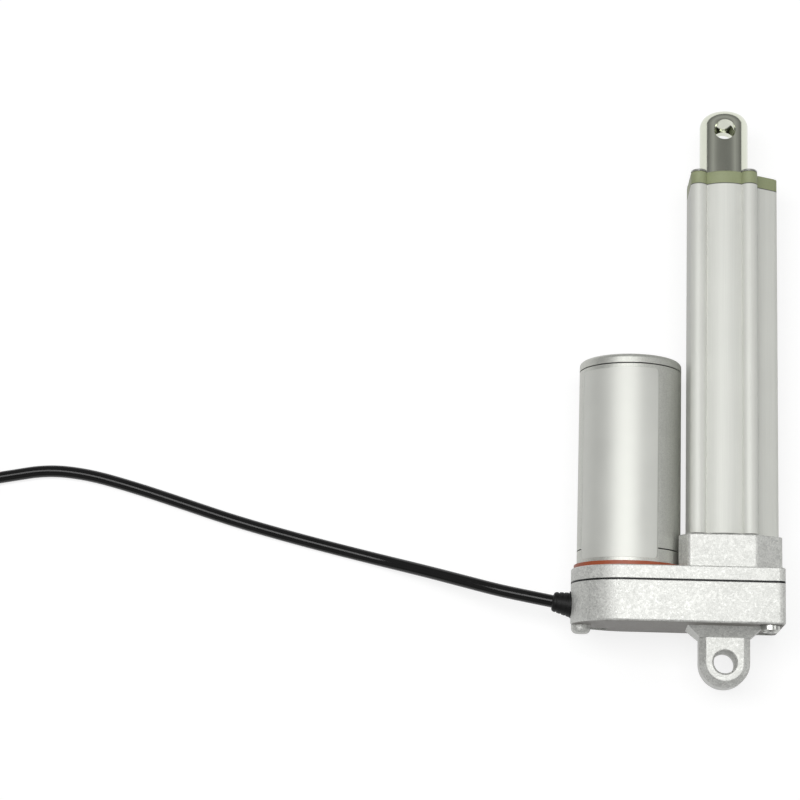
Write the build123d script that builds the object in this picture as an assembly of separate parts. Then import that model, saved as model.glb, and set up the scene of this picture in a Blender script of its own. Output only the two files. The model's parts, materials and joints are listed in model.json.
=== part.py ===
from build123d import *
from math import acos, atan2, cos, hypot, pi, radians, sin, sqrt, tan
import os

# An electric linear actuator that lies on its back, with its cord beside it.
# X runs across it, Y along the tube to the rod end, and Z up. The origin is the
# middle of the hole in the rear eye. A place across the tube is written (x, z).

# Layout
hole_to_hole = 205.0
stroke = 100.0
motor_x = -35.26
pin_hole_r = 4.05
run_gap = 0.05
fit_gap = 0.15
close = 0.01

# Rear eye, cast with the housing
eye_r = 9.2
eye_half_t = 9.0
eye_chamfer = 2.4
eye_hole_chamfer = 0.6
eye_root = 0.6
flare_w = 4.4
flare_h = 4.0
flare_t = 3.5

# Gearbox casing
housing_bottom = 12.9
housing_h = 14.95
gasket_t = 0.7
cover_t = 4.95
case_right = 21.0
case_corner_r = 2.5
case_edge_r = 0.9
case_wall = 2.8
gear_side_gap = 1.79
floor_t = 2.5
boss_h = 3.2
boss_r = 3.6
boss_edge = 3.95
boss_edge_r = 1.9
bend_z = -9.0
bend_rise = 1.4

# Casing screws
screw_r = 1.6
screw_head_r = 3.4
screw_head_out = 2.5
screw_head_round = 1.0
screw_pocket = 1.0
screw_pocket_gap = 0.9
screw_edge = 5.3
screw_left_edge = 5.1680441
screw_left_angle = radians(-132.9904462)
screw_bite = 4.0
post_r = 3.9

# Collar that holds the tube
collar_h = 12.6
collar_left = -17.2
collar_right = 20.7
collar_half_z = 16.0
collar_facet_left = 3.7
collar_facet_right = 9.6
collar_facet_drop = 6.5
collar_edge_r = 0.5
collar_corner_r = 2.0
seat_h = 4.0

# Extruded outer tube
tube_top = 182.4
tube_core_r = 12.0
tube_bore_r = 10.6
lobe_r = 3.15
lobe_mid_x = -0.4
lobe_front_x = 9.5
lobe_back_x = 10.2
lobe_z = 8.8
chamber_right = 20.2
chamber_top_z = 6.2
chamber_edge_z = 1.9
chamber_low_z = -11.0
chamber_bevel = 1.0
chamber_wall = 1.5
chamber_left = 12.4
chamber_roof = 1.95
slot_z = -3.5
slot_w = 4.2

# Front cap, its screws and the rod seal
cap_t = 4.9
cap_edge_r = 0.6
cap_screw_r = 1.4
cap_screw_l = 14.0
cap_head_r = 3.1
cap_head_h = 0.8
wiper_r = 10.9
wiper_h = 2.6
front_bush_l = 18.0

# Rod, nut and guide
rod_r = 9.3
rod_bore_r = 5.5
rod_end_over = 9.0
rod_end_round = 5.5
rod_end_wall = 4.2
rod_low = 54.0
nut_r = 7.3
nut_l = 17.0
nut_flange_t = 4.0
guide_l = 8.0
guide_gap = 0.1
key_reach = 14.4
key_gap = 0.2

# Lead screw and its ball bearing
lead_screw_r = 5.0
journal_r = 4.0
tail_r = 2.6
thread_spare = 2.0
shoulder_r = 6.2
bearing_r = 11.0
bearing_t = 7.0
race_t = 2.1
ball_r = 1.55
ball_count = 9
ball_gap = 0.05

# Gears
gear_module = 0.6
pinion_teeth = 12
wheel_teeth = 32
final_teeth = 36
pressure_angle = radians(25)
addendum = 0.85
dedendum = 1.15
backlash = 0.16
first_gear_angle = radians(30)
gear_t = 3.4
gear_step = 4.0
gear_floor_gap = 0.8
axle_r = 1.5
axle_hold = 1.5

# Motor
motor_r = 19.3
seal_r = 20.35
seal_inner_r = 16.5
seal_t = 1.5
relief_gap = 0.4
front_plate_t = 5.0
pilot_r = 6.0
seam_t = 0.4
can_l = 68.7
can_wall = 1.6
end_cap_t = 3.5
end_cap_round = 1.5
spigot_l = 3.0
spigot_wall = 2.0
magnet_t = 3.1
magnet_low = 8.0
magnet_angle = 130
air_gap = 0.5
core_inset = 1.0
core_slots = 5
core_slot_l = 5.0
core_slot_w = 1.6
shaft_r = 1.6
bush_r = 3.6
bush_l = 4.0
hub_r = 5.6
commutator_r = 6.0
commutator_l = 8.0
commutator_gap = 3.1
brush_w = 3.6
brush_l = 7.0
brush_ring_t = 3.0

# Limit switches on their board
board_t = 1.2
board_w = 7.4
board_spare = 5.0
switch_l = 9.0
switch_w = 5.6
switch_t = 2.4
plunger_r = 0.8
plunger_out = 1.2
plunger_in = 1.2
plunger_gap = 0.1
trip_gap = 0.3

# Cord and its gland
gland_y = 20.4
gland_seat = 0.7
gland_out = 0.3
gland_l = 6.5
gland_seat_r = 5.0
gland_root_r = 4.75
gland_tip_r = 3.6
gland_tip_round = 1.1
gland_tilt = 10.0
gland_rib_r = 0.3
gland_rib_w = 0.6
gland_rib_count = 3
gland_plug_r = 3.5
cord_d = 4.8
coil_mid_r = 28.2
coil_columns = 2
coil_rows = 2
coil_x = -326.0
coil_y = 28.0
coil_entry = radians(110)
bare_core_d = 1.7
bare_core_l = 20.0
bare_core_pitch = 2.0
core_tip_d = 1.0
core_tip_l = 5.0
core_start = radians(-10)
core_turn = radians(140)

# Heights and places that follow from the sizes above
first_reach = gear_module * (pinion_teeth + wheel_teeth) / 2
wheel_tip_r = gear_module * (wheel_teeth / 2 + addendum)
case_half_z = first_reach * sin(first_gear_angle) + wheel_tip_r + gear_side_gap + case_wall
housing_top = housing_bottom + housing_h
cover_low = housing_top + gasket_t
cover_top = cover_low + cover_t
collar_top = cover_top + collar_h
tube_low = cover_top + seat_h
cap_top = tube_top + cap_t
rod_top = hole_to_hole + rod_end_over
bearing_top = cover_low + bearing_t
plate_low = cover_top + seal_t
plate_top = plate_low + front_plate_t
can_low = plate_top + seam_t
can_top = can_low + can_l
end_cap_low = can_top + seam_t
end_cap_top = end_cap_low + end_cap_t
can_bore_r = motor_r - can_wall
floor_z = -case_half_z
case_floor = housing_bottom + floor_t
gear_low = case_floor + gear_floor_gap
final_low = gear_low + 2 * gear_step
guide_low = rod_low - nut_flange_t
guide_r = tube_bore_r - guide_gap
screw_top = rod_low - nut_flange_t + nut_l + stroke + thread_spare
magnet_y = can_low + magnet_low
magnet_l = end_cap_low - bush_l - commutator_gap - commutator_l - magnet_y
core_low = magnet_y + core_inset
core_high = magnet_y + magnet_l - core_inset
commutator_low = core_high + core_inset
brush_low = commutator_low + (commutator_l - brush_w) / 2
board_x = chamber_right - chamber_wall - board_t - fit_gap
switch_x = board_x - switch_t
lower_trip = guide_low - trip_gap - plunger_r
upper_trip = guide_low + guide_l + stroke + trip_gap + plunger_r
board_low = lower_trip - switch_l / 2 - board_spare / 2
board_high = upper_trip + switch_l / 2 + board_spare / 2
motor_at = (motor_x, 0)
case_left = motor_x - case_half_z
screw_right_x = case_right - screw_edge
screw_z = case_half_z - screw_edge
screw_left_reach = case_half_z - screw_left_edge
screw_left_at = (
    motor_x + screw_left_reach * cos(screw_left_angle),
    screw_left_reach * sin(screw_left_angle),
)
screw_places = [(screw_right_x, screw_z), (screw_right_x, -screw_z), screw_left_at]
sunk_head = (housing_bottom + bend_rise - fit_gap, case_floor - run_gap)
screw_heads = [
    (housing_bottom - screw_head_out, housing_bottom + screw_pocket),
    sunk_head,
    sunk_head,
]
boss_at = (case_left + boss_edge, 0)
lobe_places = [
    (lobe_mid_x + side * reach, z)
    for side in (-1, 1)
    for reach, z in ((lobe_front_x, lobe_z), (lobe_back_x, -lobe_z))
]
gland_x = case_left + gland_seat
gland_mouth_x = case_left - gland_out
gland_tip_x = gland_mouth_x - gland_l * cos(radians(gland_tilt))
gland_tip_y = gland_y + gland_l * sin(radians(gland_tilt))
cord_z = floor_z + cord_d / 2
coil_outer_r = coil_mid_r + coil_columns * cord_d / 2
coil_inner_r = coil_mid_r - coil_columns * cord_d / 2
coil_lane_r = coil_outer_r - cord_d / 2

# The cord's free route, from the gland to the coil, chosen point by point
cord_route = [
    (gland_tip_x, gland_tip_y, 0.0),
    (-72.7, 23.2, 0.0),
    (-84.0, 25.5, -1.9),
    (-97.5, 29.1, -5.9),
    (-113.0, 33.4, -12.3),
    (-131.0, 38.0, cord_z),
    (-150.5, 42.4, cord_z),
    (-170.5, 47.2, cord_z),
    (-191.0, 52.6, cord_z),
    (-211.5, 59.0, cord_z),
    (-232.0, 65.2, cord_z),
    (-250.5, 69.9, cord_z),
    (-267.0, 71.4, cord_z),
    (-283.0, 68.6, cord_z),
    (-300.0, 65.6, cord_z),
    (-318.0, 61.8, cord_z),
    (coil_x + coil_lane_r * cos(coil_entry), coil_y + coil_lane_r * sin(coil_entry), cord_z),
]


def prism(outline, low, high):
    """An outline in X and Z, carried along Y from low to high."""
    return extrude(Plane.XZ.offset(-low) * outline, amount=high - low, dir=(0, 1, 0))


def disc(radius, low, high, at=(0, 0)):
    """A round bar along Y."""
    return prism(Pos(*at) * Circle(radius), low, high)


def ring(outer, inner, low, high, at=(0, 0)):
    """A round tube along Y."""
    return prism(Pos(*at) * (Circle(outer) - Circle(inner)), low, high)


def turned(points, at=(0, 0)):
    """A piece turned about a line along Y, from (radius, y) points."""
    return Pos(at[0], 0, at[1]) * revolve(Polygon(*points, align=None), Axis.Y, 360)


def span(x0, x1, z0, z1):
    """A rectangle between two corners."""
    return Pos((x0 + x1) / 2, (z0 + z1) / 2) * Rectangle(x1 - x0, z1 - z0)


def bar_along_x(radius, x0, x1, y, z):
    """A round bar along X."""
    return Pos((x0 + x1) / 2, y, z) * Rot(0, 90, 0) * Cylinder(radius, x1 - x0)


def pin_hole(y):
    """What the fixing pin takes away, along Z."""
    return Pos(0, y, 0) * Cylinder(pin_hole_r, 3 * case_half_z)


def flat_edges(part, y):
    """The edges that lie at one height along Y."""
    return part.edges().filter_by(lambda e: all(abs((e @ t).Y - y) < close for t in (0, 0.3, 0.5, 1)))


def face_rims(part, z):
    """The edges round the two faces that lie at z and at -z."""
    return part.edges().filter_by(lambda e: all(abs(abs((e @ t).Z) - z) < close for t in (0, 0.5, 1)))


# Gears


def involute(angle):
    """How far a flank has turned where its pressure angle is angle."""
    return tan(angle) - angle


def gear_outline(teeth, aim):
    """A spur gear's outline, with a tooth that points along the angle aim."""
    pitch_r = gear_module * teeth / 2
    base_r = pitch_r * cos(pressure_angle)
    tip_r = pitch_r + addendum * gear_module
    root_r = pitch_r - dedendum * gear_module
    half_tooth = (pi * gear_module / 2 - backlash) / 2 / pitch_r
    foot_r = max(base_r, root_r)
    flank = []
    for radius in (foot_r, (foot_r + tip_r) / 2, tip_r):
        lean = half_tooth + involute(pressure_angle) - involute(acos(base_r / radius))
        flank.append((radius, lean))
    if root_r < foot_r:
        flank.insert(0, (root_r, flank[0][1]))
    points = []
    for tooth in range(teeth):
        middle = aim + 2 * pi * tooth / teeth
        points += [(r * cos(middle - a), r * sin(middle - a)) for r, a in flank]
        points += [(r * cos(middle + a), r * sin(middle + a)) for r, a in reversed(flank)]
    return Polygon(*points, align=None)


def gear(teeth, at, aim, low, high):
    """A spur gear about a line along Y."""
    return prism(Pos(*at) * gear_outline(teeth, aim), low, high)


def mesh_distance(teeth, other_teeth):
    """How far apart two meshed gears stand."""
    return gear_module * (teeth + other_teeth) / 2


def way(here, there):
    """The angle from one place to another."""
    return atan2(there[1] - here[1], there[0] - here[0])


def second_gear_place(first):
    """Where the second gear meshes with the first one and with the final gear."""
    to_first = mesh_distance(pinion_teeth, wheel_teeth)
    to_final = mesh_distance(pinion_teeth, final_teeth)
    apart = hypot(*first)
    along = (to_final**2 - to_first**2 + apart**2) / (2 * apart)
    aside = sqrt(to_final**2 - along**2)
    ux, uz = first[0] / apart, first[1] / apart
    return along * ux - aside * uz, along * uz + aside * ux


first_at = (motor_x + first_reach * cos(first_gear_angle), first_reach * sin(first_gear_angle))
second_at = second_gear_place(first_at)


def compound_gear(at, wheel_aim, pinion_aim, low):
    """A wheel with the next stage's pinion on top, bored for its axle."""
    wheel = gear(wheel_teeth, at, wheel_aim, low, low + gear_t)
    pinion = gear(pinion_teeth, at, pinion_aim, low + gear_t, low + gear_step + gear_t)
    return wheel + pinion - disc(axle_r + run_gap, low, low + 2 * gear_step, at)


def first_gear():
    """Driven by the motor's pinion, in the lowest plane of teeth."""
    gap_aim = way(first_at, motor_at) + pi / wheel_teeth
    return compound_gear(first_at, gap_aim, way(first_at, second_at), gear_low)


def second_gear():
    """Driven by the first gear, in the middle plane."""
    gap_aim = way(second_at, first_at) + pi / wheel_teeth
    return compound_gear(second_at, gap_aim, way(second_at, (0, 0)), gear_low + gear_step)


def final_gear():
    """Turns the lead screw."""
    gap_aim = way((0, 0), second_at) + pi / final_teeth
    wheel = gear(final_teeth, (0, 0), gap_aim, final_low, final_low + gear_t)
    return wheel - disc(journal_r, final_low, final_low + gear_t)


def gear_axles():
    """One fixed pin for each of the two middle gears."""
    return [disc(axle_r, case_floor - axle_hold, cover_low + axle_hold, at) for at in (first_at, second_at)]


# Casing


def case_outline(inset=0.0):
    """The casing's plan: round about the motor at the left, square at the right."""
    half = case_half_z - inset
    right = case_right - inset
    block = span(motor_x, right, -half, half)
    corners = block.vertices().group_by(Axis.X)[-1]
    block = fillet(corners, max(case_corner_r - inset / 2, run_gap))
    return Pos(*motor_at) * Circle(half) + block


def cavity_outline():
    """The room for the gears, with a post left standing round each screw."""
    outline = case_outline(case_wall)
    for place in screw_places:
        outline -= Pos(*place) * Circle(post_r)
    return outline


def rear_eye():
    """The tongue with its pin hole, and the skirt that joins it to the housing."""
    top = housing_bottom + eye_root
    outline = Circle(eye_r) + Pos(0, top / 2) * Rectangle(2 * eye_r, top)
    tongue = extrude(outline, amount=eye_half_t, both=True)
    rims = face_rims(tongue, eye_half_t)
    tongue = chamfer(rims.filter_by(lambda e: e.center().Y < top - close), eye_chamfer)
    base = Rectangle(2 * (eye_r + flare_w), 2 * (eye_half_t + flare_t))
    wide = Plane.XZ.offset(-housing_bottom) * base
    narrow = Plane.XZ.offset(flare_h - housing_bottom) * Rectangle(2 * eye_r, 2 * eye_half_t)
    return tongue + loft([wide, narrow]) + prism(base, housing_bottom, housing_bottom + bend_rise)


def underside_bend():
    """What the underside's slope takes away towards the back."""
    slope = Polygon(
        (housing_bottom, bend_z),
        (housing_bottom + bend_rise, -case_half_z),
        (housing_bottom + bend_rise, -2 * case_half_z),
        (housing_bottom - bend_rise, -2 * case_half_z),
        (housing_bottom - bend_rise, bend_z),
        align=None,
    )
    return extrude(Plane.YZ.offset(case_left - case_half_z) * slope, amount=2 * case_half_z - 2 * case_left)


def gearbox_housing():
    """The lower casting: a tray for the gears, with the rear eye under it."""
    body = prism(case_outline(), housing_bottom, housing_top)
    body = fillet(flat_edges(body, housing_bottom), case_edge_r) - underside_bend()
    boss = disc(boss_r, housing_bottom - boss_h, housing_bottom + floor_t, boss_at)
    body += fillet(flat_edges(boss, housing_bottom - boss_h), boss_edge_r)
    body += rear_eye()
    body -= prism(cavity_outline(), case_floor, housing_top)
    gaps = (screw_pocket_gap, fit_gap, fit_gap)
    for place, gap, (_, head_high) in zip(screw_places, gaps, screw_heads):
        body -= disc(screw_r + fit_gap, housing_bottom - boss_h, housing_top, place)
        body -= disc(screw_head_r + gap, housing_bottom - boss_h, head_high, place)
    for place in (first_at, second_at):
        body -= disc(axle_r, case_floor - axle_hold, case_floor, place)
    body -= disc(tail_r + run_gap, case_floor - axle_hold, case_floor)
    body -= bar_along_x(gland_seat_r, case_left - gland_seat, gland_x, gland_y, 0)
    body -= bar_along_x(gland_plug_r, gland_x, case_left + case_wall, gland_y, 0)
    body -= pin_hole(0)
    rims = face_rims(body, eye_half_t).filter_by(GeomType.CIRCLE)
    return chamfer(rims.filter_by(lambda e: abs(e.radius - pin_hole_r) < close), eye_hole_chamfer)


def collar_outline():
    """The collar's plan: it follows the tube, with a sloping facet at each front corner."""
    corner = collar_half_z - collar_facet_drop
    return Polygon(
        (collar_left + collar_facet_left, -collar_half_z),
        (collar_right - collar_facet_left, -collar_half_z),
        (collar_right, -corner),
        (collar_right, corner),
        (collar_right - collar_facet_right, collar_half_z),
        (collar_left + collar_facet_left, collar_half_z),
        (collar_left, corner),
        (collar_left, -corner),
        align=None,
    )


def gearbox_cover():
    """The upper casting: a lid for the gears, with the collar for the tube."""
    lid = prism(case_outline(), cover_low, cover_top)
    lid = fillet(flat_edges(lid, cover_top), case_edge_r / 2)
    outline = collar_outline()
    corners = outline.vertices().sort_by(Axis.Y)[-2:]
    collar = prism(fillet(corners, collar_corner_r), cover_top - case_edge_r, collar_top)
    collar -= disc(seal_r + relief_gap, cover_top - case_edge_r, collar_top, motor_at)
    collar = fillet(flat_edges(collar, collar_top), collar_edge_r)
    body = lid + collar
    body -= prism(tube_outline(fit_gap), tube_low, collar_top)
    body -= disc(bearing_r, cover_low, bearing_top)
    body -= disc(shoulder_r + fit_gap, bearing_top, tube_low)
    body -= disc(pilot_r + fit_gap, cover_low, cover_top, motor_at)
    for place in screw_places:
        body -= disc(screw_r, cover_low, cover_low + screw_bite, place)
    for place in (first_at, second_at):
        body -= disc(axle_r, cover_low, cover_low + axle_hold, place)
    return body


def gearbox_gasket():
    """The black seal between the two castings."""
    outline = case_outline() - cavity_outline()
    for place in screw_places:
        outline -= Pos(*place) * Circle(screw_r + fit_gap)
    return prism(outline, housing_top, cover_low)


def housing_screws():
    """One in a pocket at the front right corner, and two sunk at the back."""
    screws = []
    for place, (head_low, head_high) in zip(screw_places, screw_heads):
        head = disc(screw_head_r, head_low, head_high, place)
        head = fillet(flat_edges(head, head_low), min(screw_head_round, (head_high - head_low) / 2))
        screws.append(head + disc(screw_r, head_high, cover_low + screw_bite, place))
    return screws


# Tube and its front end


def tube_outline(grow=0.0):
    """The extrusion's outside: a round core, four screw lobes and a chamber at the right."""
    outline = Circle(tube_core_r + grow)
    for place in lobe_places:
        outline += Pos(*place) * Circle(lobe_r + grow)
    front_left = lobe_mid_x - lobe_front_x
    back_left = lobe_mid_x - lobe_back_x
    outline += Polygon(
        (back_left - lobe_r - grow, -lobe_z),
        (0, -lobe_z),
        (0, lobe_z),
        (front_left - lobe_r - grow, lobe_z),
        align=None,
    )
    chamber_start = lobe_mid_x + lobe_front_x + lobe_r
    outline += Polygon(
        (0, chamber_low_z - grow),
        (chamber_right - chamber_bevel, chamber_low_z - grow),
        (chamber_right + grow, chamber_low_z + chamber_bevel),
        (chamber_right + grow, chamber_edge_z - chamber_bevel),
        (chamber_right - chamber_bevel + grow, chamber_edge_z + grow),
        (chamber_start + grow, chamber_top_z + grow),
        (0, chamber_top_z + grow),
        align=None,
    )
    return outline


def chamber_room():
    """The hollow that holds the switch board, and the slot that opens it to the bore."""
    right = chamber_right - chamber_wall
    room = Polygon(
        (chamber_left, chamber_low_z + chamber_wall),
        (right, chamber_low_z + chamber_wall),
        (right, chamber_edge_z - chamber_wall),
        (chamber_left, chamber_top_z - chamber_roof),
        align=None,
    )
    return room + span(0, chamber_left + fit_gap, slot_z - slot_w / 2, slot_z + slot_w / 2)


def outer_tube():
    """The extruded tube, cut to length and drilled in its lobes."""
    outline = tube_outline() - Circle(tube_bore_r) - chamber_room()
    tube = prism(outline, tube_low, tube_top)
    for place in lobe_places:
        tube -= disc(cap_screw_r, cap_top - cap_t - cap_screw_l, tube_top, place)
    return tube


def front_cap():
    """The plastic cap that closes the tube round the rod."""
    cap = prism(tube_outline(), tube_top, cap_top)
    cap = fillet(flat_edges(cap, cap_top), cap_edge_r)
    cap -= disc(rod_r + fit_gap, tube_top, cap_top)
    cap -= disc(wiper_r, cap_top - wiper_h, cap_top)
    for place in lobe_places:
        cap -= disc(cap_screw_r, tube_top, cap_top, place)
    return cap


def front_cap_screws():
    """One long screw into each lobe."""
    screws = []
    for place in lobe_places:
        head = disc(cap_head_r, cap_top, cap_top + cap_head_h, place)
        head = fillet(flat_edges(head, cap_top + cap_head_h), cap_edge_r)
        screws.append(head + disc(cap_screw_r, tube_top - cap_screw_l, cap_top, place))
    return screws


def rod_wiper():
    """The rubber ring that keeps the rod clean."""
    return ring(wiper_r, rod_r + run_gap, cap_top - wiper_h, cap_top)


def front_bush():
    """The plain bearing that the rod slides in."""
    return ring(tube_bore_r, rod_r + run_gap, tube_top - front_bush_l, tube_top)


# Rod


def rod_tube():
    """The polished rod: a thick tube with a closed, rounded end and a hole across it."""
    rod = disc(rod_r, rod_low, rod_top)
    rod = fillet(flat_edges(rod, rod_top), rod_end_round)
    rod -= disc(rod_bore_r, rod_low, rod_top - rod_end_wall)
    rod -= disc(nut_r, rod_low, guide_low + nut_l)
    return rod - pin_hole(hole_to_hole)


def lead_nut():
    """The bronze nut, pressed into the rod's lower end."""
    return turned(
        [
            (lead_screw_r + run_gap, guide_low),
            (rod_r, guide_low),
            (rod_r, rod_low),
            (nut_r, rod_low),
            (nut_r, guide_low + nut_l),
            (lead_screw_r + run_gap, guide_low + nut_l),
        ]
    )


def guide_shoe():
    """The ring that centres the nut in the bore, with a key that runs in the slot."""
    low, high = guide_low, guide_low + guide_l
    half = slot_w / 2 - key_gap
    key = prism(span(rod_r + guide_gap, key_reach, slot_z - half, slot_z + half), low, high)
    return ring(guide_r, rod_r, low, high) + key - disc(rod_r, low, high)


# Lead screw and bearing


def lead_screw():
    """A stepped spindle: tail, journal, shoulder and the long screw."""
    return turned(
        [
            (0, case_floor - axle_hold + run_gap),
            (tail_r, case_floor - axle_hold + run_gap),
            (tail_r, final_low),
            (journal_r, final_low),
            (journal_r, bearing_top),
            (shoulder_r, bearing_top),
            (shoulder_r, tube_low),
            (lead_screw_r, tube_low),
            (lead_screw_r, screw_top),
            (0, screw_top),
        ]
    )


ball_lane_r = (journal_r + bearing_r) / 2
ball_y = cover_low + bearing_t / 2


def ball_track():
    """The groove that the balls run in."""
    return Pos(0, ball_y, 0) * Rot(90, 0, 0) * Torus(ball_lane_r, ball_r + ball_gap)


def bearing_outer_race():
    return ring(bearing_r, bearing_r - race_t, cover_low, bearing_top) - ball_track()


def bearing_inner_race():
    return ring(journal_r + race_t, journal_r, cover_low, bearing_top) - ball_track()


def bearing_balls():
    places = [2 * pi * n / ball_count for n in range(ball_count)]
    return [Pos(ball_lane_r * cos(a), ball_y, ball_lane_r * sin(a)) * Sphere(ball_r) for a in places]


# Motor


def motor_seal():
    """The orange ring between the gearbox and the motor."""
    return ring(seal_r, seal_inner_r, cover_top, plate_low, motor_at)


def motor_front_plate():
    """The flange that carries the motor, with a pilot below and a spigot above."""
    return turned(
        [
            (shaft_r + fit_gap, cover_top - cover_t + fit_gap),
            (pilot_r, cover_top - cover_t + fit_gap),
            (pilot_r, plate_low),
            (motor_r, plate_low),
            (motor_r, plate_top),
            (can_bore_r, plate_top),
            (can_bore_r, plate_top + spigot_l),
            (can_bore_r - spigot_wall, plate_top + spigot_l),
            (can_bore_r - spigot_wall, plate_top),
            (bush_r, plate_top),
            (bush_r, plate_top - bush_l),
            (shaft_r + fit_gap, plate_top - bush_l),
        ],
        motor_at,
    )


def motor_can():
    """The steel tube round the magnets."""
    return ring(motor_r, can_bore_r, can_low, can_top, motor_at)


def motor_end_cap():
    """The closed cap, with a hub inside for the rear bush."""
    cap = turned(
        [
            (0, end_cap_low),
            (bush_r, end_cap_low),
            (bush_r, end_cap_low - bush_l),
            (hub_r, end_cap_low - bush_l),
            (hub_r, end_cap_low),
            (can_bore_r - spigot_wall, end_cap_low),
            (can_bore_r - spigot_wall, end_cap_low - spigot_l),
            (can_bore_r, end_cap_low - spigot_l),
            (can_bore_r, end_cap_low),
            (motor_r, end_cap_low),
            (motor_r, end_cap_top),
            (0, end_cap_top),
        ],
        motor_at,
    )
    return fillet(flat_edges(cap, end_cap_top), end_cap_round)


def motor_bushes():
    """Plain bearings for the motor's shaft, front and rear."""
    front = ring(bush_r, shaft_r + run_gap, plate_top - bush_l, plate_top, motor_at)
    rear = ring(bush_r, shaft_r + run_gap, end_cap_low - bush_l, end_cap_low, motor_at)
    return [front, rear]


def motor_magnets():
    """Two curved magnets, one at each side of the can."""
    band = Circle(can_bore_r) - Circle(can_bore_r - magnet_t)
    reach = 2 * can_bore_r
    half = radians(magnet_angle / 2)
    side = reach * cos(half), reach * sin(half)
    wedge = Polygon((0, 0), (side[0], -side[1]), (reach, -reach), (reach, reach), side, align=None)
    arc = band & wedge
    arcs = [Pos(*motor_at) * Rot(0, 0, turn) * arc for turn in (90, 270)]
    return [prism(arc, magnet_y, magnet_y + magnet_l) for arc in arcs]


def rotor_shaft():
    return disc(shaft_r, gear_low - run_gap, end_cap_low - run_gap, motor_at)


def motor_pinion():
    teeth = gear(pinion_teeth, motor_at, way(motor_at, first_at), gear_low, gear_low + gear_t)
    return teeth - disc(shaft_r, gear_low, gear_low + gear_t, motor_at)


def rotor_core():
    """The wound core, slotted for its windings."""
    core_r = can_bore_r - magnet_t - air_gap
    outline = Circle(core_r) - Circle(shaft_r)
    for n in range(core_slots):
        outline -= Rot(0, 0, 360 * n / core_slots) * Pos(core_r, 0) * Rectangle(core_slot_l, core_slot_w)
    return prism(Pos(*motor_at) * outline, core_low, core_high)


def commutator():
    return ring(commutator_r, shaft_r, commutator_low, commutator_low + commutator_l, motor_at)


def brush_holder():
    """The insulating ring that the brushes are held in."""
    return ring(can_bore_r, commutator_r + brush_l, brush_low, brush_low + brush_ring_t, motor_at)


def brushes():
    """Two carbon blocks that press on the commutator."""
    near = commutator_r + run_gap
    far = commutator_r + brush_l
    blocks = []
    for low_x, high_x in ((near, far), (-far, -near)):
        block = prism(span(low_x, high_x, -brush_w / 2, brush_w / 2), brush_low, brush_low + brush_w)
        blocks.append(Pos(motor_x, 0, 0) * (block & disc(far, brush_low, brush_low + brush_w)))
    return blocks


# Limit switches


def limit_switch_board():
    half = board_w / 2
    return prism(span(board_x, board_x + board_t, slot_z - half, slot_z + half), board_low, board_high)


def limit_switch(trip):
    """A small switch whose plunger meets the guide's key at one end of the stroke."""
    half_w, half_l = switch_w / 2, switch_l / 2
    body = prism(span(switch_x, board_x, slot_z - half_w, slot_z + half_w), trip - half_l, trip + half_l)
    return body - bar_along_x(plunger_r + plunger_gap, switch_x, board_x - fit_gap, trip, slot_z)


def switch_plunger(trip):
    return bar_along_x(plunger_r, switch_x - plunger_out, switch_x + plunger_in, trip, slot_z)


# Cord


def cable_gland():
    """The rubber strain relief: a boot that leans with the cord, seated in the wall with a plug."""
    back = -gland_tip_round
    profile = [(back, 0), (gland_l, 0), (gland_l, gland_tip_r), (back, gland_root_r)]
    body = revolve(Polygon(*profile, align=None), Axis.X, 360)
    body = fillet(body.edges().filter_by(GeomType.CIRCLE).sort_by(Axis.X)[-1], gland_tip_round)
    step = gland_l / (gland_rib_count + 0.5)
    for n in range(gland_rib_count):
        along = step * (n + 0.5)
        here_r = gland_root_r + (gland_tip_r - gland_root_r) * along / gland_l
        groove = Pos(along, 0, 0) * Rot(0, 90, 0) * Cylinder(here_r + gland_rib_r, gland_rib_w)
        groove -= Pos(along, 0, 0) * Rot(0, 90, 0) * Cylinder(here_r - gland_rib_r, gland_rib_w)
        body -= groove
    body = Pos(gland_mouth_x, gland_y, 0) * Rot(0, 0, 180 - gland_tilt) * body
    body -= bar_along_x(2 * gland_root_r, gland_x, gland_x + gland_l, gland_y, 0)
    body += bar_along_x(gland_seat_r, gland_mouth_x, gland_x, gland_y, 0)
    return body + bar_along_x(gland_plug_r, gland_x, case_left + case_wall, gland_y, 0)


def corner_radii(points):
    """The largest arc at each corner that leaves its two runs a straight middle."""
    radii = []
    for a, b, c in zip(points, points[1:], points[2:]):
        into, out = Vector(*b) - Vector(*a), Vector(*c) - Vector(*b)
        half_turn = radians(into.get_angle(out)) / 2
        radii.append(0.45 * min(into.length, out.length) / tan(half_turn))
    return radii


def cord():
    """The stretch of cord that lies free."""
    path = FilletPolyline(*cord_route, radius=corner_radii(cord_route))
    tube = sweep(Plane(path @ 0, z_dir=path % 0) * Circle(cord_d / 2), path=path)
    print("cord: path", round(path.length, 2), "smallest radius", round(min(corner_radii(cord_route)), 1),
          "volume", round(tube.volume, 1), "section x length", round(pi * cord_d**2 / 4 * path.length, 1))
    return tube


def cord_coil():
    """The outer shape of the coil that the rest of the cord is wound into."""
    band = Circle(coil_outer_r) - Circle(coil_inner_r)
    return Pos(coil_x, coil_y, floor_z) * extrude(band, amount=coil_rows * cord_d)


def bare_core(side, start, length, diameter):
    """A round wire that runs inward from the coil's inner face, beside its twin."""
    heading = core_start + core_turn
    ahead = Vector(cos(heading), sin(heading))
    beside = Vector(-sin(heading), cos(heading)) * (side * bare_core_pitch / 2)
    at_coil = Vector(coil_x, coil_y) + Vector(cos(core_start), sin(core_start)) * coil_inner_r
    foot_at = at_coil + ahead * start + beside + Vector(0, 0, floor_z + bare_core_d / 2)
    foot = Plane(origin=foot_at, z_dir=ahead)
    return extrude(foot * Circle(diameter / 2), amount=length)


def cord_cores():
    """The two insulated cores at the cord's bare end."""
    return [bare_core(side, 0, bare_core_l, bare_core_d) for side in (-1, 1)]


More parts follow.
